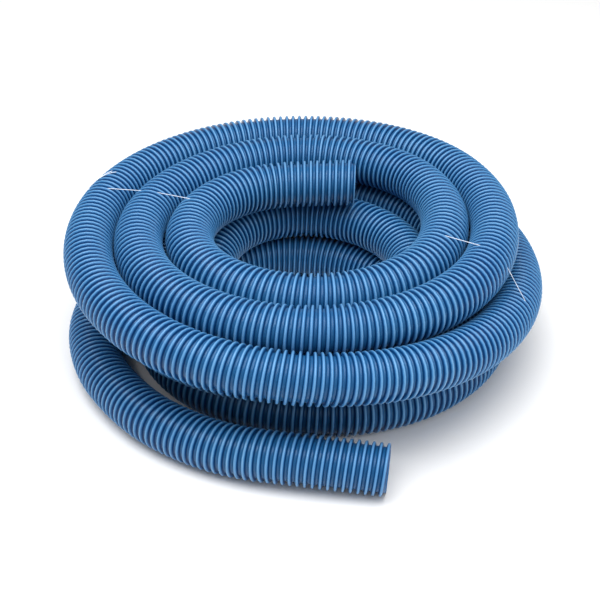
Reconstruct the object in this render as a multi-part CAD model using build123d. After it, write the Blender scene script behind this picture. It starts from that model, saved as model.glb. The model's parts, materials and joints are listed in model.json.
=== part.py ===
from build123d import *

import math
import os

# Swimming-pool vacuum hose: one spiral-ribbed hose, both ends cut bare, lying on the floor as a coil of
# three layers with its outer end pulled out along the front. Two strings hold the coil together.
# Millimetres. Z is up, the floor is z = 0, and the origin is on the floor in the middle of the object.

# ---- driving sizes ----
HOSE_OD = 46.0           # over the ribs
BORE_D = 38.0            # inside diameter, for a 38 mm fitting
INNER_END_LENGTH = 24.0  # straight stretch at the hose's inner end
FRONT_END_LENGTH = 36.0  # straight stretch at the hose's outer end
STRING_D = 1.0
STRING_GAP = 0.4         # the strings stand this far off the hose
COIL_CENTRE = (-2.2, 2.9)   # puts the origin under the middle of the whole object

# ---- where the hose lies ----
# Heights and radii are in hose diameters. A layer is a little over one diameter above the one below it.
FLOOR_LAYER = 0.5
MIDDLE_LAYER = 1.54
TOP_LAYER = 2.58
STEPS_PER_TURN = 16
FILLET_SHARE = 0.45      # share of the shorter run that each arc takes

# The inner end, before the first turn: x, y and height.
INNER_RUN = [(1.17, 2.20, 2.62), (0.16, 2.21, 2.60)]

# The coil: turns from the back, counter-clockwise seen from above, then radius and height.
COIL = [
    # top layer, from the inside out
    (0.06, 2.22, TOP_LAYER),
    (0.25, 2.30, TOP_LAYER),
    (0.50, 2.34, TOP_LAYER),
    (0.75, 2.90, TOP_LAYER),
    (0.88, 3.46, TOP_LAYER),
    (1.00, 3.50, TOP_LAYER),
    (1.12, 3.36, TOP_LAYER),
    (1.25, 3.34, TOP_LAYER),
    (1.50, 3.44, TOP_LAYER),
    (1.75, 3.94, 2.57),
    (1.88, 4.47, 2.56),
    (2.00, 4.52, 2.55),
    (2.12, 4.46, 2.56),
    (2.25, 4.35, 2.55),
    (2.50, 4.46, 2.26),
    # over the edge at the right, then the middle layer, from the outside in
    (2.63, 4.38, 1.84),
    (2.75, 4.50, MIDDLE_LAYER),
    (2.87, 4.74, 1.51),
    (3.00, 4.78, 1.50),
    (3.12, 4.52, 1.51),
    (3.25, 3.92, MIDDLE_LAYER),
    (3.50, 3.44, MIDDLE_LAYER),
    (3.63, 3.36, MIDDLE_LAYER),
    (3.75, 3.42, MIDDLE_LAYER),
    (4.00, 3.74, MIDDLE_LAYER),
    (4.12, 3.46, MIDDLE_LAYER),
    (4.25, 2.90, MIDDLE_LAYER),
    (4.50, 2.36, MIDDLE_LAYER),
    (4.63, 2.28, MIDDLE_LAYER),
    (4.75, 2.36, MIDDLE_LAYER),
    (5.00, 2.70, MIDDLE_LAYER),
    # down through the middle, then the layer on the floor, from the inside out
    (5.12, 2.40, 1.50),
    (5.25, 1.88, 1.15),
    (5.37, 1.78, 0.80),
    (5.50, 2.04, FLOOR_LAYER),
    (5.75, 2.42, FLOOR_LAYER),
    (6.00, 2.60, FLOOR_LAYER),
    (6.12, 2.78, FLOOR_LAYER),
    (6.25, 3.05, FLOOR_LAYER),
    (6.50, 3.15, FLOOR_LAYER),
    (6.75, 3.98, FLOOR_LAYER),
    (7.00, 4.34, FLOOR_LAYER),
    (7.12, 4.20, FLOOR_LAYER),
    (7.25, 4.42, FLOOR_LAYER),
]

# Each layer of the coil is a solid of its own. The top and middle ones end at these turns.
LAYER_ENDS = [2.5, 5.0]

# The loose run on the floor along the front, out to the outer end: x, y and height.
LOOSE_RUN = [
    (-4.20, -1.60, FLOOR_LAYER),
    (-3.48, -2.78, FLOOR_LAYER),
    (-2.67, -3.64, FLOOR_LAYER),
    (-1.41, -4.38, FLOOR_LAYER),
    (0.08, -4.75, 0.60),
    (1.59, -4.91, FLOOR_LAYER),
]

# The strings, each in an upright plane. The plane faces this way, in turns, passes this far beside the
# coil's axis, in diameters, and crosses the hose several times. The string holds some of those crossings.
LEFT_STRING_FACES = 0.206
LEFT_STRING_ASIDE = -0.13
LEFT_STRING_HOLDS = [0, 1, 2]
RIGHT_STRING_FACES = 0.667
RIGHT_STRING_ASIDE = 0.78
RIGHT_STRING_HOLDS = [0, 1, 2, 3, 4]


def slope(before, after, column):
    return (after[column] - before[column]) / (after[0] - before[0])


def smooth(turns, column):
    """A value between the stations, on a smooth curve through them."""
    i = max(k for k in range(len(COIL) - 1) if COIL[k][0] <= turns or k == 0)
    a, b = COIL[i], COIL[i + 1]
    span = b[0] - a[0]
    t = (turns - a[0]) / span
    slope_a = slope(COIL[max(i - 1, 0)], b, column) * span
    slope_b = slope(a, COIL[min(i + 2, len(COIL) - 1)], column) * span
    return (
        (2 * t**3 - 3 * t**2 + 1) * a[column]
        + (t**3 - 2 * t**2 + t) * slope_a
        + (3 * t**2 - 2 * t**3) * b[column]
        + (t**3 - t**2) * slope_b
    )


def turn_radius(turns):
    return smooth(turns, 1)


def turn_height(turns):
    """The smooth curve may swing a little past its stations, but the hose stays on the floor."""
    return max(smooth(turns, 2), FLOOR_LAYER)


def place(x, y, z):
    return Vector(COIL_CENTRE[0] + x * HOSE_OD, COIL_CENTRE[1] + y * HOSE_OD, z * HOSE_OD)


def coil_points():
    """Corner points of the coil. They stand a little outside it, because the arcs pass inside them."""
    outside = 1 / math.cos(math.pi / STEPS_PER_TURN)
    points = []
    for step in range(1, round(COIL[-1][0] * STEPS_PER_TURN) + 1):
        turns = step / STEPS_PER_TURN
        angle = 2 * math.pi * turns
        radius = turn_radius(turns) * outside
        points.append(place(-radius * math.sin(angle), radius * math.cos(angle), turn_height(turns)))
    return points


def arc_radii(points):
    """One radius for each corner, as large as its two runs allow."""
    radii = []
    for before, here, after in zip(points, points[1:], points[2:]):
        run_in = here - before
        run_out = after - here
        half_turn = math.radians(run_in.get_angle(run_out)) / 2
        radii.append(FILLET_SHARE * min(run_in.length, run_out.length) / math.tan(half_turn))
    return radii


def cut(corner, distance=0.0):
    """A place to cut the hose: on the run after a corner, this far along it, or halfway."""
    run = route[corner + 1] - route[corner]
    share = distance / run.length if distance else 0.5
    return corner, route[corner] + run * share


def stretch(start, end):
    """A plain tube as thick as the hose over its ribs, from one cut to another."""
    corners = route[start[0] + 1 : end[0] + 1]
    path = FilletPolyline(start[1], *corners, end[1], radius=radii[start[0] : end[0]])
    section = Plane(origin=path @ 0, z_dir=path % 0) * Circle(HOSE_OD / 2)
    return sweep(section, path=path), path


def open_end(mouth, inner):
    """The straight stretch at an end of the hose, with its bore."""
    section = Circle(HOSE_OD / 2) - Circle(BORE_D / 2)
    return extrude(Plane(origin=inner, z_dir=mouth - inner) * section, amount=(mouth - inner).length)


def crossings(path, plane):
    """Where the hose passes through one side of an upright plane: place in the plane, and slant to it."""
    found = []
    for edge in path.edges():
        near = plane.to_local_coords(edge @ 0)
        far = plane.to_local_coords(edge @ 1)
        if near.X > 0 and near.Z * far.Z < 0:
            low, high = 0.0, 1.0
            for _ in range(30):
                middle = (low + high) / 2
                if plane.to_local_coords(edge @ middle).Z * near.Z > 0:
                    low = middle
                else:
                    high = middle
            found.append((plane.to_local_coords(edge @ low), abs((edge % low).dot(plane.z_dir))))
    return found


def outline(passes, stand_off):
    """The tightest outline in the plane that stays this far off every crossing."""
    round_each = Sketch()
    for centre, slant in passes:
        half_height = HOSE_OD / 2 + stand_off
        half_width = HOSE_OD / 2 / slant + stand_off
        round_each += Pos(centre.X, centre.Y) * Ellipse(half_width, half_height)
    return make_hull(round_each.edges())


def string_loop(path, faces, aside, holds):
    """A string pulled tight round some turns of the hose, in an upright plane."""
    angle = 2 * math.pi * faces
    outward = Vector(-math.sin(angle), math.cos(angle), 0)
    across = Vector(-math.cos(angle), -math.sin(angle), 0)
    plane = Plane(origin=place(across.X * aside, across.Y * aside, 0), x_dir=outward, z_dir=across)
    passes = crossings(path, plane)
    held = [passes[turn] for turn in holds]
    ring = outline(held, STRING_GAP + STRING_D) - outline(held, STRING_GAP)
    return extrude(plane * ring, amount=STRING_D / 2, both=True)


def write(name, solid):
    export_step(solid, f"parts/{name}.step")
    box = solid.bounding_box()
    print(f"{name}: {solid.volume:.0f} mm3, from {box.min} to {box.max}")


os.makedirs("parts", exist_ok=True)

coil_run = coil_points()
route = [place(*p) for p in INNER_RUN] + coil_run + [place(*p) for p in LOOSE_RUN]
radii = arc_radii(route)
print("arc radii:", [round(r) for r in radii])

before_coil = len(INNER_RUN) - 1
last_run = len(route) - 2
last_run_length = (route[-1] - route[-2]).length
inner_cut = cut(0, INNER_END_LENGTH)
layer_cuts = [cut(before_coil + round(turns * STEPS_PER_TURN)) for turns in LAYER_ENDS]
coil_cut = cut(before_coil + len(coil_run))
front_cut = cut(last_run, last_run_length - FRONT_END_LENGTH)
cuts = [inner_cut, *layer_cuts, coil_cut, front_cut]
names = ["hose_top_layer", "hose_middle_layer", "hose_floor_layer", "hose_loose_run"]

length = INNER_END_LENGTH + FRONT_END_LENGTH
for name, start, end in zip(names, cuts, cuts[1:]):
    solid, path = stretch(start, end)
    write(name, solid)
    ratio = solid.volume / (math.pi * HOSE_OD**2 / 4 * path.length)
    print(f"    length {path.length:.1f} mm, volume over section x length {ratio:.4f}")
    length += path.length
print(f"hose length {length:.0f} mm")

write("hose_inner_end", open_end(route[0], inner_cut[1]))
write("hose_front_end", open_end(route[-1], front_cut[1]))
print("inner end's mouth at", route[0], "facing", (route[0] - route[1]).normalized())
print("front end's mouth at", route[-1], "facing", (route[-1] - route[-2]).normalized())

hose_path = FilletPolyline(*route, radius=radii)
left_string = string_loop(hose_path, LEFT_STRING_FACES, LEFT_STRING_ASIDE, LEFT_STRING_HOLDS)
right_string = string_loop(hose_path, RIGHT_STRING_FACES, RIGHT_STRING_ASIDE, RIGHT_STRING_HOLDS)
write("left_string", left_string)
write("right_string", right_string)
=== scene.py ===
import json
import math

import bpy
import numpy as np
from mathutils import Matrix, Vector


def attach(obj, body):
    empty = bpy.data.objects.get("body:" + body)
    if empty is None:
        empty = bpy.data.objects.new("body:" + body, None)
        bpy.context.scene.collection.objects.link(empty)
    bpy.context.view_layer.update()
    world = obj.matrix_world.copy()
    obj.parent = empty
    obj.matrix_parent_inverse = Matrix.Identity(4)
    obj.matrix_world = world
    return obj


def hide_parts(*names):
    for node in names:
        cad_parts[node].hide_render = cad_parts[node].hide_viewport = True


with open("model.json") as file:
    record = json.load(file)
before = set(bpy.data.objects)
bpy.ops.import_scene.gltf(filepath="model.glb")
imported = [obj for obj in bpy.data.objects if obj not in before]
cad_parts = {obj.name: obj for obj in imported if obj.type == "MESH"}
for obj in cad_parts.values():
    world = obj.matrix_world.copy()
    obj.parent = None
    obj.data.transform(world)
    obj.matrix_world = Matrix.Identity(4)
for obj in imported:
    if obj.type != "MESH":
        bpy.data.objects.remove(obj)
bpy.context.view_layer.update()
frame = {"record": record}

# Swimming-pool vacuum hose. The hose is one spiral-ribbed tube that follows the CAD model's route, hollow
# from end to end, and two clear strings tie its coil together. Metres, in the CAD model's frame.

# ---- the hose ----
BORES = {mount["name"]: mount["dims"]["r_mm"] / 1000 for mount in frame["record"]["mounts"]}
BORE_R = BORES["front_end_bore"]
HOSE_D = 0.046           # over the ribs
HOSE_R = HOSE_D / 2
WEB_R = 0.0195           # outside of the web, between the ribs
RIB_SPACING = 0.0064     # near the pitch, which gives a whole number of ribs and a part of one more
LAST_RIB = 0.32          # that part, which leaves the last rib whole at the front end

# The ribs aren't quite evenly spaced. Two waves along the hose move them, each by up to this much.
RIB_WANDER = 0.00015
LONG_WAVE = 0.049        # length of a wave, over 2 pi
SHORT_WAVE = 0.0132
SHORT_WAVE_START = 1.0   # radians

# One rib: share of the pitch, and share of the way from the web to the crest.
RIB_PROFILE = [
    (0.00, 0.0),
    (0.34, 0.0),
    (0.42, 0.46),
    (0.51, 0.90),
    (0.66, 1.0),
    (0.81, 0.90),
    (0.90, 0.46),
]
CREST = max(RIB_PROFILE, key=lambda point: point[1])[0]

# ---- how finely it is made ----
LINE_STEPS = 16          # points of the hose's line for each point of its route
AROUND = 24              # faces around the hose
SPARE_RIBS = 2           # ribs made beyond each end, before the ends are cut
RIBS_PER_RING = 2        # the bore is smooth, so its rings of faces are longer
SHARP_EDGE = math.radians(75)
STRING_STEPS = 48        # points of a string for each turn round the hose, and round a knot
TAIL_STEPS = 8           # points for each point of a knot's tail

# The inner end is cut along a rib's crest, so once round the cut there is a step of nearly one pitch.
# It lies between these places around the hose, in turns from the coil's outside up over the top.
STEP_FROM = 0.16
STEP_TO = 0.285
TOP = 0.25               # the top of the hose, in the same turns

# ---- where the hose lies, in hose diameters, as in the CAD model ----
COIL_CENTRE = (-0.0022, 0.0029)
FLOOR_LAYER = 0.5
MIDDLE_LAYER = 1.54
TOP_LAYER = 2.58
STEPS_PER_TURN = 16

# The inner end, before the first turn: x, y and height.
INNER_RUN = [(1.17, 2.20, 2.62), (0.16, 2.21, 2.60)]

# The coil: turns from the back, counter-clockwise seen from above, then radius and height.
COIL = [
    # top layer, from the inside out
    (0.06, 2.22, TOP_LAYER),
    (0.25, 2.30, TOP_LAYER),
    (0.50, 2.34, TOP_LAYER),
    (0.75, 2.90, TOP_LAYER),
    (0.88, 3.46, TOP_LAYER),
    (1.00, 3.50, TOP_LAYER),
    (1.12, 3.36, TOP_LAYER),
    (1.25, 3.34, TOP_LAYER),
    (1.50, 3.44, TOP_LAYER),
    (1.75, 3.94, 2.57),
    (1.88, 4.47, 2.56),
    (2.00, 4.52, 2.55),
    (2.12, 4.46, 2.56),
    (2.25, 4.35, 2.55),
    (2.50, 4.46, 2.26),
    # over the edge at the right, then the middle layer, from the outside in
    (2.63, 4.38, 1.84),
    (2.75, 4.50, MIDDLE_LAYER),
    (2.87, 4.74, 1.51),
    (3.00, 4.78, 1.50),
    (3.12, 4.52, 1.51),
    (3.25, 3.92, MIDDLE_LAYER),
    (3.50, 3.44, MIDDLE_LAYER),
    (3.63, 3.36, MIDDLE_LAYER),
    (3.75, 3.42, MIDDLE_LAYER),
    (4.00, 3.74, MIDDLE_LAYER),
    (4.12, 3.46, MIDDLE_LAYER),
    (4.25, 2.90, MIDDLE_LAYER),
    (4.50, 2.36, MIDDLE_LAYER),
    (4.63, 2.28, MIDDLE_LAYER),
    (4.75, 2.36, MIDDLE_LAYER),
    (5.00, 2.70, MIDDLE_LAYER),
    # down through the middle, then the layer on the floor, from the inside out
    (5.12, 2.40, 1.50),
    (5.25, 1.88, 1.15),
    (5.37, 1.78, 0.80),
    (5.50, 2.04, FLOOR_LAYER),
    (5.75, 2.42, FLOOR_LAYER),
    (6.00, 2.60, FLOOR_LAYER),
    (6.12, 2.78, FLOOR_LAYER),
    (6.25, 3.05, FLOOR_LAYER),
    (6.50, 3.15, FLOOR_LAYER),
    (6.75, 3.98, FLOOR_LAYER),
    (7.00, 4.34, FLOOR_LAYER),
    (7.12, 4.20, FLOOR_LAYER),
    (7.25, 4.42, FLOOR_LAYER),
]

# The loose run on the floor along the front, out to the outer end: x, y and height.
LOOSE_RUN = [
    (-4.20, -1.60, FLOOR_LAYER),
    (-3.48, -2.78, FLOOR_LAYER),
    (-2.67, -3.64, FLOOR_LAYER),
    (-1.41, -4.38, FLOOR_LAYER),
    (0.08, -4.75, 0.60),
    (1.59, -4.91, FLOOR_LAYER),
]

# ---- the strings, each in an upright plane, as in the CAD model ----
# The plane faces this way, in turns, and passes this far beside the coil's axis, in diameters.
# It crosses the hose several times, and the string holds some of those crossings.
STRING_D = 0.0007
LEFT_STRING = {"faces": 0.206, "aside": -0.13, "holds": [0, 1, 2]}
RIGHT_STRING = {"faces": 0.667, "aside": 0.78, "holds": [0, 1, 2, 3, 4]}

# A knot: which crossing it is on, where around the hose, and its two tails. Each tail is a list of how
# far along the hose from the knot, and where around it.
KNOT_SIZE = 0.0011
KNOT_FLATNESS = 0.5      # its thickness beside its width
LEFT_KNOT = {
    "crossing": 2,
    "turn": 0.10,
    "tails": [
        [(0.0, 0.10), (-0.006, 0.125), (-0.014, 0.155), (-0.021, 0.180), (-0.028, 0.220)],
        [(0.0, 0.11), (-0.005, 0.140), (-0.013, 0.150), (-0.021, 0.200), (-0.027, 0.255)],
    ],
}
RIGHT_KNOT = {
    "crossing": 0,
    "turn": 0.62,
    "tails": [
        [(0.0, 0.62), (0.005, 0.600), (0.012, 0.590), (0.018, 0.560)],
        [(0.0, 0.62), (-0.006, 0.610), (-0.013, 0.580), (-0.017, 0.575)],
    ],
}

# ---- colours ----
# The hose's colour at each height, from 0 on the web to 1 on a crest. The near-black band at the foot of
# each rib and the dark flanks are painted shade in the creases between rib and web. The lighter crests
# are partly the rib plastic's own lighter blue and partly a painted highlight.
RIB_COLOURS_AND_SHADE = [
    (0.00, (0.016, 0.110, 0.262)),
    (0.12, (0.002, 0.032, 0.115)),
    (0.54, (0.002, 0.052, 0.175)),
    (0.88, (0.048, 0.200, 0.420)),
    (1.00, (0.135, 0.315, 0.540)),
]
PATCH_TINT = (0.68, 0.80, 0.90)
STREAK_TINT = (0.60, 0.76, 0.86)
SCUFF_BLUE = (0.230, 0.420, 0.62)
GLOSS_TINT = (0.72, 0.84, 1.0)
NYLON_CLEAR = (0.58, 0.68, 0.84)
NYLON_CLOUDY = (0.82, 0.87, 0.95)
NYLON_IOR = 1.53
FLOOR_GREY = (0.9, 0.9, 0.9)

# ---- the view ----
VIEW_ELEVATION = math.radians(33)
VIEW_DISTANCE = 1.35
VIEW_LENS = 83.8
VIEW_SHIFT = (-0.0033, -0.02)
VIEW_AIM = (*COIL_CENTRE, 0.060)

# ---- the light ----
SKY_STRENGTH = 0.44
LIGHT_AIM = (0, 0, 0.07)
KEY_LIGHT = {"place": (-0.15, -0.30, 1.6), "size": (2.0, 1.6), "power": 44}
FILL_LIGHT = {"place": (1.3, -1.2, 1.0), "size": (1.2, 1.2), "power": 8}
FLOOR_HALF = 4.0


# ==== the hose's line ====
def slope(before, after, column):
    return (after[column] - before[column]) / (after[0] - before[0])


def smooth(turns, column):
    """A value between the stations, on a smooth curve through them."""
    i = max(k for k in range(len(COIL) - 1) if COIL[k][0] <= turns or k == 0)
    a, b = COIL[i], COIL[i + 1]
    span = b[0] - a[0]
    t = (turns - a[0]) / span
    slope_a = slope(COIL[max(i - 1, 0)], b, column) * span
    slope_b = slope(a, COIL[min(i + 2, len(COIL) - 1)], column) * span
    return (
        (2 * t**3 - 3 * t**2 + 1) * a[column]
        + (t**3 - 2 * t**2 + t) * slope_a
        + (3 * t**2 - 2 * t**3) * b[column]
        + (t**3 - t**2) * slope_b
    )


def place(x, y, z):
    return COIL_CENTRE[0] + x * HOSE_D, COIL_CENTRE[1] + y * HOSE_D, z * HOSE_D


def route_points():
    """The route's corner points. In the coil they stand a little outside the hose's own line."""
    outside = 1 / math.cos(math.pi / STEPS_PER_TURN)
    points = [place(*p) for p in INNER_RUN]
    for step in range(1, round(COIL[-1][0] * STEPS_PER_TURN) + 1):
        turns = step / STEPS_PER_TURN
        angle = 2 * math.pi * turns
        radius = smooth(turns, 1) * outside
        height = max(smooth(turns, 2), FLOOR_LAYER)
        points.append(place(-radius * math.sin(angle), radius * math.cos(angle), height))
    return points + [place(*p) for p in LOOSE_RUN]


def line_through(corners):
    """Points along the smooth line that the corners control."""
    curve = bpy.data.curves.new("route", "CURVE")
    curve.dimensions = "3D"
    curve.resolution_u = LINE_STEPS
    spline = curve.splines.new("NURBS")
    spline.points.add(len(corners) - 1)
    for point, corner in zip(spline.points, corners):
        point.co = (*corner, 1.0)
    spline.order_u = 3
    spline.use_endpoint_u = True
    route = bpy.data.objects.new("route", curve)
    mesh = bpy.data.meshes.new_from_object(route)
    points = np.array([v.co for v in mesh.vertices])
    bpy.data.meshes.remove(mesh)
    bpy.data.objects.remove(route)
    bpy.data.curves.remove(curve)
    return points


class HoseLine:
    """The hose's middle line: its place, its direction, and which way is out and up, at any distance."""

    def __init__(self, points):
        steps = np.linalg.norm(np.diff(points, axis=0), axis=1)
        self.points = points
        self.at = np.concatenate([[0.0], np.cumsum(steps)])
        self.length = float(self.at[-1])
        self.ahead = self.unit(np.gradient(points, self.at, axis=0))
        self.out = self.unit(np.cross(self.ahead, [0.0, 0.0, 1.0]))
        self.up = np.cross(self.out, self.ahead)

    @staticmethod
    def unit(vectors):
        return vectors / np.linalg.norm(vectors, axis=-1, keepdims=True)

    def between(self, values, along):
        return np.stack([np.interp(along, self.at, values[:, k]) for k in range(3)], axis=-1)

    def surface(self, along, turn, radius):
        """Points this far from the middle line. The turn goes from the coil's outside up over the top."""
        out = self.unit(self.between(self.out, along))
        up = self.unit(self.between(self.up, along))
        around = np.cos(2 * np.pi * turn)[..., None] * out + np.sin(2 * np.pi * turn)[..., None] * up
        return self.between(self.points, along) + around * np.asarray(radius)[..., None]


# ==== the hose ====
def wander(along):
    """How far a rib lies off its even place."""
    return RIB_WANDER * (np.sin(along / LONG_WAVE) + np.sin(along / SHORT_WAVE + SHORT_WAVE_START))


def rib_pitch(line):
    return line.length / (round(line.length / RIB_SPACING) + LAST_RIB)


def rib_height(share):
    """How far the surface stands out, from 0 on the web to 1 on a crest, at a share of the pitch."""
    shares, heights = zip(*RIB_PROFILE, (1.0, RIB_PROFILE[0][1]))
    return np.interp(share % 1.0, shares, heights)


def rib_place(line, rows, turn):
    """How far along the hose a row lies. Rows are counted in ribs, and one turn on is one rib ahead."""
    along = (rows + turn - STEP_TO - CREST) * rib_pitch(line)
    return along + wander(along)


def rib_share(line, along, turn):
    """The share of the pitch at a place, the inverse of rib_place."""
    return (along - wander(along)) / rib_pitch(line) - turn + STEP_TO + CREST


def inner_cut(line, turn):
    """Where the hose begins: along a rib's crest, with a step back to the rib's start."""
    round_from_step = (turn - STEP_TO) % 1.0
    crest_part = 1.0 - (STEP_TO - STEP_FROM)
    return rib_pitch(line) * np.interp(round_from_step, [0.0, crest_part, 1.0], [0.0, crest_part, 0.0])


def ribbed_wall(line):
    """The outside. Its rows follow the screw of the ribs, so a row meets itself one rib further on."""
    per_rib = len(RIB_PROFILE)
    ribs = np.arange(-SPARE_RIBS, math.ceil(line.length / RIB_SPACING) + SPARE_RIBS + 1)
    shares = np.array([share for share, height in RIB_PROFILE])
    rows = (ribs[:, None] + shares[None, :]).ravel()
    turns = np.arange(AROUND) / AROUND
    start = inner_cut(line, turns)
    raw = rib_place(line, rows[:, None], turns[None, :])
    along = np.clip(raw, start[None, :], line.length)
    share = rib_share(line, along, turns[None, :])
    height = rib_height(share)
    radius = WEB_R + (HOSE_R - WEB_R) * height
    turn = np.broadcast_to(turns, along.shape)
    points = line.surface(along, turn, radius)
    wound = wound_place(line, along, share)

    # Every point beyond an end is the one point of its column on the cut there.
    index = np.arange(raw.size).reshape(raw.shape)
    for j in range(AROUND):
        first = np.nonzero(raw[:, j] <= start[j])[0][-1]
        last = np.nonzero(raw[:, j] >= line.length)[0][0]
        index[:first, j] = index[first, j]
        index[last:, j] = index[last, j]

    next_column = np.empty_like(index)
    next_column[:, :-1] = index[:, 1:]
    next_column[:-per_rib, -1] = index[per_rib:, 0]
    next_column[-per_rib:, -1] = index[-1, 0]
    a, b = index[:-1], index[1:]
    c, d = next_column[1:], next_column[:-1]
    quads = np.stack([a, d, c, b], axis=-1).reshape(-1, 4)
    faces = []
    for quad in quads.tolist():
        corners = list(dict.fromkeys(quad))
        if len(corners) > 2:
            faces.append(corners)
    points = points.reshape(-1, 3)
    return points, faces, height.ravel(), wound.reshape(-1, 3), index[0], index[-1]


def wound_place(line, along, share):
    """A place on the wound strip, for the material: how far along the strip, and where across it."""
    strip = along / rib_pitch(line) * 2 * math.pi * HOSE_R
    across = 2 * math.pi * share
    return np.stack([strip, np.cos(across), np.sin(across)], axis=-1)


def bore_wall(line):
    """The inside, as plain rings from one cut to the other."""
    rings = math.ceil(line.length / RIB_SPACING / RIBS_PER_RING)
    turns = np.arange(AROUND) / AROUND
    along = np.repeat(np.linspace(0.0, line.length, rings + 1)[:, None], AROUND, axis=1)
    along[0] = inner_cut(line, turns)
    turn = np.broadcast_to(turns, along.shape)
    points = line.surface(along, turn, np.full(along.shape, BORE_R))
    wound = wound_place(line, along, np.zeros(along.shape))
    index = np.arange(along.size).reshape(along.shape)
    next_column = np.roll(index, -1, 1)
    quads = np.stack([index[:-1], index[1:], next_column[1:], next_column[:-1]], axis=-1)
    faces = quads.reshape(-1, 4).tolist()
    return points.reshape(-1, 3), faces, wound.reshape(-1, 3), index[0], index[-1]


def rim(outer, inner, facing_ahead):
    """The cut face between the outside and the bore."""
    faces = []
    for j in range(AROUND):
        k = (j + 1) % AROUND
        face = [int(outer[j]), int(outer[k]), int(inner[k]), int(inner[j])]
        faces.append(face if facing_ahead else face[::-1])
    return faces


def make_hose(line):
    outside, faces, height, wound, start, end = ribbed_wall(line)
    inside, bore_faces, bore_wound, bore_start, bore_end = bore_wall(line)
    base = len(outside)
    faces += [[base + i for i in face] for face in bore_faces]
    faces += rim(start, base + bore_start, False)
    faces += rim(end, base + bore_end, True)
    points = np.concatenate([outside, inside])
    rib = np.concatenate([height, np.zeros(len(inside))])
    wound = np.concatenate([wound, bore_wound])

    used = np.unique(np.fromiter((i for face in faces for i in face), int))
    new_index = np.zeros(len(points), int)
    new_index[used] = np.arange(len(used))
    mesh = bpy.data.meshes.new("hose")
    mesh.from_pydata(points[used].tolist(), [], [new_index[face].tolist() for face in faces])
    rib_values = mesh.attributes.new("rib", "FLOAT", "POINT")
    rib_values.data.foreach_set("value", rib[used])
    wound_values = mesh.attributes.new("wound", "FLOAT_VECTOR", "POINT")
    wound_values.data.foreach_set("vector", wound[used].ravel())
    mesh.shade_smooth()
    mesh.set_sharp_from_angle(angle=SHARP_EDGE)
    return add(bpy.data.objects.new("hose", mesh))


# ==== the strings ====
def crossings(line, string):
    """Where the hose passes one side of the string's plane: how far along, and the place in the plane."""
    angle = 2 * math.pi * string["faces"]
    outward = np.array([-math.sin(angle), math.cos(angle)])
    across = np.array([-math.cos(angle), -math.sin(angle)])
    from_origin = line.points[:, :2] - np.array(COIL_CENTRE) - across * string["aside"] * HOSE_D
    out = from_origin @ outward
    beyond = from_origin @ across
    found = []
    for i in range(len(beyond) - 1):
        if out[i] > 0 and beyond[i] <= 0 < beyond[i + 1]:
            share = beyond[i] / (beyond[i] - beyond[i + 1])
            at = line.at[i] + share * (line.at[i + 1] - line.at[i])
            found.append((at, Vector((out[i], line.points[i, 2]))))
    return found


def hull_order(spots):
    """The corners of the tightest outline round some places in a plane, anticlockwise."""
    def turns_left(a, b, c):
        return (spots[b] - spots[a]).cross(spots[c] - spots[b]) > 0

    def half(ordered):
        chain = []
        for i in ordered:
            while len(chain) > 1 and not turns_left(chain[-2], chain[-1], i):
                chain.pop()
            chain.append(i)
        return chain[:-1]

    order = sorted(range(len(spots)), key=lambda i: tuple(spots[i]))
    return half(order) + half(order[::-1])


def web_between_ribs(line, at):
    """The row along the middle of the web nearest to a place on top of the hose."""
    web_middle = RIB_PROFILE[1][0] / 2
    return round(rib_share(line, at, TOP) - web_middle) + web_middle


def tie(line, string):
    """The string's closed line. It lies on the web between two ribs, and bridges from turn to turn."""
    passes = [crossings(line, string)[turn] for turn in string["holds"]]
    spots = [spot for at, spot in passes]
    order = hull_order(spots)
    points = []
    for k, here in enumerate(order):
        before = spots[here] - spots[order[k - 1]]
        after = spots[order[(k + 1) % len(order)]] - spots[here]
        first = math.atan2(-before.x, before.y) / (2 * math.pi)
        last = math.atan2(-after.x, after.y) / (2 * math.pi)
        last += math.ceil(first - last)
        turn = np.linspace(first, last, max(2, round((last - first) * STRING_STEPS)))
        along = rib_place(line, web_between_ribs(line, passes[here][0]), turn)
        points += line.surface(along, turn, np.full(turn.shape, WEB_R + STRING_D / 2)).tolist()
    return points


def knot(line, string, tied):
    """A small overhand knot in the web, and the two tails that lie over the ribs beside it."""
    row = web_between_ribs(line, crossings(line, string)[tied["crossing"]][0])
    turn = tied["turn"]
    at = float(rib_place(line, row, turn))
    middle = line.surface(np.array(at), np.array(turn), np.array(WEB_R + KNOT_SIZE))
    hose_middle = line.surface(np.array(at), np.array(turn), np.array(0.0))
    outward = Vector(middle - hose_middle).normalized()
    ahead = Vector(line.between(line.ahead, np.array(at))).normalized()
    around = outward.cross(ahead)
    loop = []
    for step in range(STRING_STEPS):
        t = 2 * math.pi * step / STRING_STEPS
        x = (math.sin(t) + 2 * math.sin(2 * t)) / 3
        y = (math.cos(t) - 2 * math.cos(2 * t)) / 3
        z = -math.sin(3 * t) * KNOT_FLATNESS
        loop.append(Vector(middle) + KNOT_SIZE * (ahead * x + around * y + outward * z))
    return [(loop, True)] + [(tail_line(line, at, tail), False) for tail in tied["tails"]]


def tail_line(line, at, tail):
    """A knot's tail. It climbs onto the ribs in the first half of the way to its second point."""
    steps = np.linspace(0, len(tail) - 1, TAIL_STEPS * len(tail))
    offset = np.interp(steps, range(len(tail)), [part[0] for part in tail])
    turn = np.interp(steps, range(len(tail)), [part[1] for part in tail])
    rise = np.minimum(steps * 2, 1.0)
    radius = (1 - rise) * (WEB_R + KNOT_SIZE) + rise * (HOSE_R + STRING_D / 2)
    return line.surface(at + offset, turn, radius).tolist()


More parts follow.
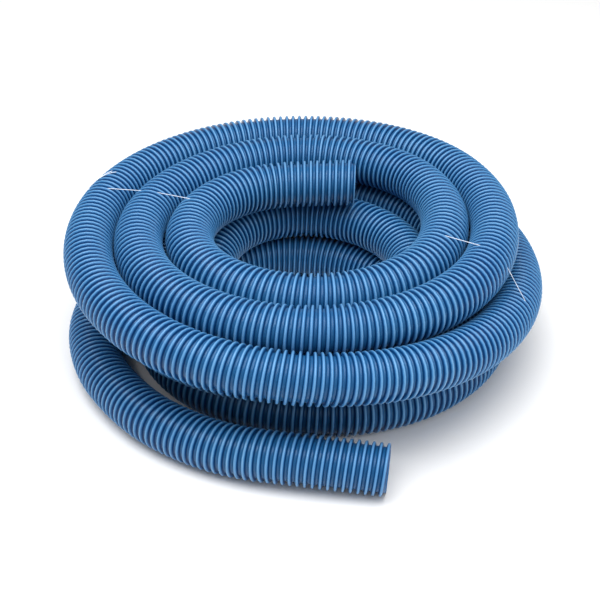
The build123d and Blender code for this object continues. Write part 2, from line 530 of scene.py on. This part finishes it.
def make_string(name, lines):
    """A round string along some lines, each a list of points and whether it is closed."""
    curve = bpy.data.curves.new(name, "CURVE")
    curve.dimensions = "3D"
    curve.bevel_depth = STRING_D / 2
    curve.bevel_resolution = 2
    curve.use_fill_caps = True
    for points, closed in lines:
        spline = curve.splines.new("POLY")
        spline.points.add(len(points) - 1)
        for point, spot in zip(spline.points, points):
            point.co = (*spot, 1.0)
        spline.use_cyclic_u = closed
    rope = bpy.data.objects.new(name, curve)
    mesh = bpy.data.meshes.new_from_object(rope)
    bpy.data.objects.remove(rope)
    bpy.data.curves.remove(curve)
    mesh.name = name
    mesh.shade_smooth()
    return add(bpy.data.objects.new(name, mesh))


# ==== materials ====
def new_material(name):
    material = bpy.data.materials.new(name)
    material.use_nodes = True
    tree = material.node_tree
    return material, tree, tree.nodes["Principled BSDF"]


def node(tree, kind, **values):
    made = tree.nodes.new(kind)
    for key, value in values.items():
        if key in made.inputs:
            made.inputs[key].default_value = value
        else:
            setattr(made, key, value)
    return made


def attribute(tree, name, output):
    return node(tree, "ShaderNodeAttribute", attribute_name=name).outputs[output]


def stretched(tree, vector, scale):
    mapping = node(tree, "ShaderNodeMapping", Scale=scale)
    tree.links.new(vector, mapping.inputs["Vector"])
    return mapping.outputs["Vector"]


def noise(tree, vector, scale, detail):
    texture = node(tree, "ShaderNodeTexNoise", Scale=scale, Detail=detail)
    tree.links.new(vector, texture.inputs["Vector"])
    return texture.outputs["Fac"]


def remap(tree, value, span, to):
    """A value that goes over one span, taken evenly over to another."""
    made = node(tree, "ShaderNodeMapRange")
    for name, number in zip(("From Min", "From Max", "To Min", "To Max"), (*span, *to)):
        made.inputs[name].default_value = number
    tree.links.new(value, made.inputs["Value"])
    return made.outputs["Result"]


def maths(tree, operation, a, b):
    made = node(tree, "ShaderNodeMath", operation=operation)
    tree.links.new(a, made.inputs[0])
    tree.links.new(b, made.inputs[1])
    return made.outputs["Value"]


def ramp(tree, value, stops):
    made = node(tree, "ShaderNodeValToRGB")
    elements = made.color_ramp.elements
    while len(elements) < len(stops):
        elements.new(0.5)
    for element, (position, colour) in zip(elements, stops):
        element.position = position
        element.color = (*colour, 1.0)
    tree.links.new(value, made.inputs["Fac"])
    return made.outputs["Color"]


def mix(tree, factor, a, b, blend="MIX"):
    """Two colours mixed. Each is a socket or a plain colour."""
    made = node(tree, "ShaderNodeMix", data_type="RGBA", blend_type=blend)
    tree.links.new(factor, made.inputs["Factor"])
    for name, colour in (("A", a), ("B", b)):
        socket = next(i for i in made.inputs if i.name == name and i.type == "RGBA")
        if isinstance(colour, tuple):
            socket.default_value = (*colour, 1.0)
        else:
            tree.links.new(colour, socket)
    return next(o for o in made.outputs if o.type == "RGBA")


def bump(tree, height, depth, strength, under=None):
    made = node(tree, "ShaderNodeBump", Distance=depth, Strength=strength)
    tree.links.new(height, made.inputs["Height"])
    if under:
        tree.links.new(under, made.inputs["Normal"])
    return made.outputs["Normal"]


def hose_plastic():
    """Blue polyethylene: the ribs are lighter than the web, partly their own lighter plastic and partly a
    painted highlight, with painted shade on the rib flanks and feet, and fine drawn streaks along the
    strip.
    """
    material, tree, shader = new_material("hose_plastic")
    shader.inputs["Specular IOR Level"].default_value = 0.4
    shader.inputs["Specular Tint"].default_value = (*GLOSS_TINT, 1.0)
    rib = attribute(tree, "rib", "Fac")
    wound = attribute(tree, "wound", "Vector")
    spot = node(tree, "ShaderNodeTexCoord").outputs["Object"]

    streaks = noise(tree, stretched(tree, wound, (16.0, 2.2, 2.2)), scale=1.0, detail=4.0)
    patches = noise(tree, spot, scale=11.0, detail=3.0)
    grain = noise(tree, spot, scale=1400.0, detail=2.0)
    rubs = noise(tree, stretched(tree, wound, (60.0, 1.0, 1.0)), scale=1.0, detail=6.0)
    on_crest = remap(tree, rib, (0.86, 1.0), (0.0, 1.0))
    scuffs = maths(tree, "MULTIPLY", on_crest, remap(tree, rubs, (0.56, 0.76), (0.0, 0.7)))

    # the ramp paints shade on the rib flanks and feet, and a partly painted highlight on the crests
    blue = ramp(tree, rib, RIB_COLOURS_AND_SHADE)
    blue = mix(tree, remap(tree, patches, (0.35, 0.65), (0.0, 0.6)), blue, PATCH_TINT, "MULTIPLY")
    blue = mix(tree, remap(tree, streaks, (0.40, 0.70), (0.0, 0.8)), blue, STREAK_TINT, "MULTIPLY")
    blue = mix(tree, scuffs, blue, SCUFF_BLUE)
    tree.links.new(blue, shader.inputs["Base Color"])

    drawn_rough = remap(tree, streaks, (0.3, 0.7), (0.24, 0.36))
    scuffed_rough = remap(tree, scuffs, (0.0, 1.0), (0.0, 0.25))
    tree.links.new(maths(tree, "ADD", drawn_rough, scuffed_rough), shader.inputs["Roughness"])
    drawn = bump(tree, streaks, depth=0.0003, strength=0.25)
    grained = bump(tree, grain, depth=0.00004, strength=0.5, under=drawn)
    tree.links.new(grained, shader.inputs["Normal"])
    return material


def string_plastic():
    """Clear nylon line, a little cloudy where it has been pulled."""
    material, tree, shader = new_material("string_plastic")
    shader.inputs["IOR"].default_value = NYLON_IOR
    spot = node(tree, "ShaderNodeTexCoord").outputs["Object"]
    cloud = noise(tree, spot, scale=420.0, detail=3.0)
    ridges = noise(tree, spot, scale=2600.0, detail=1.0)
    colour = ramp(tree, cloud, [(0.3, NYLON_CLEAR), (0.7, NYLON_CLOUDY)])
    tree.links.new(colour, shader.inputs["Base Color"])
    tree.links.new(remap(tree, cloud, (0.3, 0.7), (0.12, 0.34)), shader.inputs["Roughness"])
    tree.links.new(bump(tree, ridges, depth=0.00005, strength=0.4), shader.inputs["Normal"])
    return material


# ==== the studio ====
def add(obj):
    bpy.context.scene.collection.objects.link(obj)
    return obj


def make_floor():
    mesh = bpy.data.meshes.new("floor")
    corners = [(-1, -1), (1, -1), (1, 1), (-1, 1)]
    mesh.from_pydata([(x * FLOOR_HALF, y * FLOOR_HALF, 0) for x, y in corners], [], [(0, 1, 2, 3)])
    material, tree, shader = new_material("floor")
    shader.inputs["Base Color"].default_value = (*FLOOR_GREY, 1.0)
    shader.inputs["Roughness"].default_value = 0.8
    mesh.materials.append(material)
    return add(bpy.data.objects.new("floor", mesh))


def make_softbox(name, softbox):
    light = bpy.data.lights.new(name, "AREA")
    light.shape = "RECTANGLE"
    light.size, light.size_y = softbox["size"]
    light.energy = softbox["power"]
    lamp = add(bpy.data.objects.new(name, light))
    lamp.location = softbox["place"]
    towards = Vector(LIGHT_AIM) - Vector(softbox["place"])
    lamp.rotation_euler = towards.to_track_quat("-Z", "Y").to_euler()


def make_camera():
    camera = bpy.data.cameras.new("camera")
    camera.lens = VIEW_LENS
    camera.shift_x, camera.shift_y = VIEW_SHIFT
    eye = add(bpy.data.objects.new("camera", camera))
    back = Vector((0, -math.cos(VIEW_ELEVATION), math.sin(VIEW_ELEVATION)))
    eye.location = Vector(VIEW_AIM) + back * VIEW_DISTANCE
    eye.rotation_euler = (-back).to_track_quat("-Z", "Y").to_euler()
    bpy.context.scene.camera = eye


def make_light():
    world = bpy.data.worlds.new("studio")
    world.use_nodes = True
    sky = world.node_tree.nodes["Background"]
    sky.inputs["Color"].default_value = (1, 1, 1, 1)
    sky.inputs["Strength"].default_value = SKY_STRENGTH
    bpy.context.scene.world = world
    make_softbox("key", KEY_LIGHT)
    make_softbox("fill", FILL_LIGHT)
    bpy.context.scene.view_settings.view_transform = "Standard"


# ==== putting it together ====
line = HoseLine(line_through(route_points()))
hose = make_hose(line)
hose.data.materials.append(hose_plastic())

string = string_plastic()
left_loop = (tie(line, LEFT_STRING), True)
left_string = make_string("left_tie", [left_loop, *knot(line, LEFT_STRING, LEFT_KNOT)])
right_loop = (tie(line, RIGHT_STRING), True)
right_string = make_string("right_tie", [right_loop, *knot(line, RIGHT_STRING, RIGHT_KNOT)])
for piece in (left_string, right_string):
    piece.data.materials.append(string)
    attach(piece, "root")
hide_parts("left_string")
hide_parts("right_string")

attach(hose, "root")
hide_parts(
    "hose_inner_end",
    "hose_top_layer",
    "hose_middle_layer",
    "hose_floor_layer",
    "hose_loose_run",
    "hose_front_end",
)

make_floor()
make_light()
make_camera()
